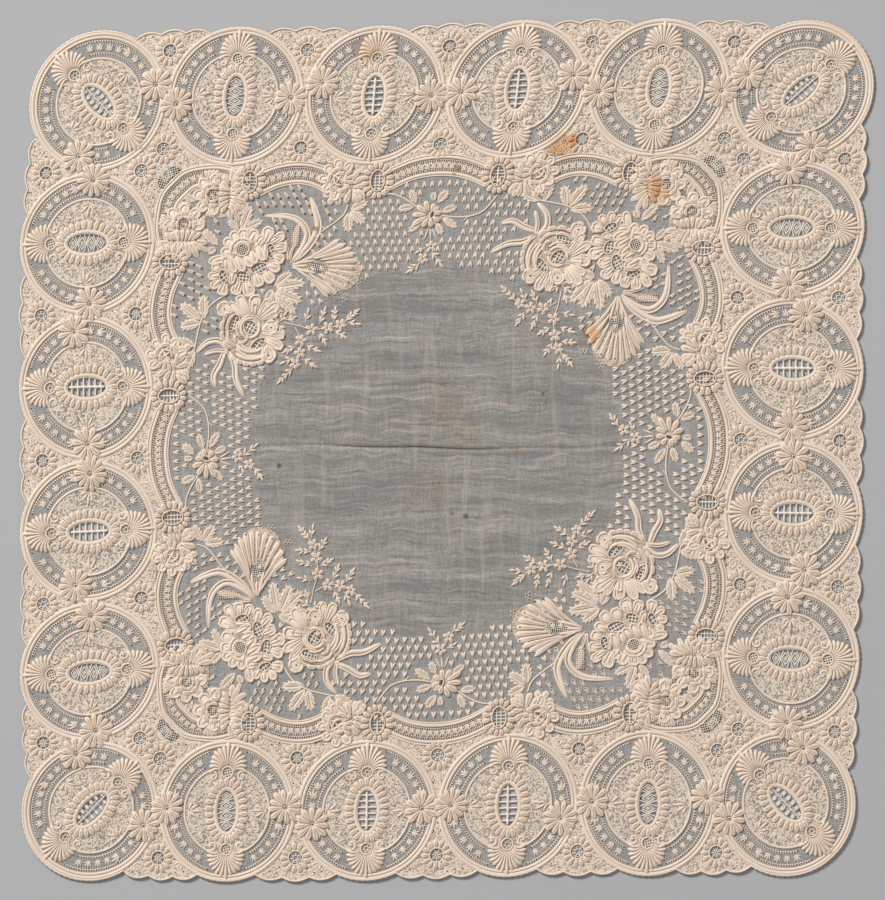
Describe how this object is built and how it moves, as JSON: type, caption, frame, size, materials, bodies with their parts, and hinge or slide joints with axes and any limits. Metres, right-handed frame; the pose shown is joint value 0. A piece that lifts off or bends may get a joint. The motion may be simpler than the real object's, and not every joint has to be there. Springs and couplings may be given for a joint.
{
  "type": "lace handkerchief",
  "caption": "Square whitework handkerchief with a scalloped edge, a border of openwork medallions, an inner cord frame with corner bouquets and a plain sheer centre, lying flat.",
  "frame": {"origin": "middle of the flat underside, on the surface that the cloth lies on", "axes": "+Z out of the embroidered face, +X to the right and +Y to the top of the cloth seen from above"},
  "size_m": [0.442, 0.4464, 0.0021],
  "materials": {
    "cotton": "cream cotton floss on sheer cotton batiste, matt, closely embroidered"
  },
  "bodies": {
    "root": {"handkerchief": "cotton"}
  },
  "joints": []
}
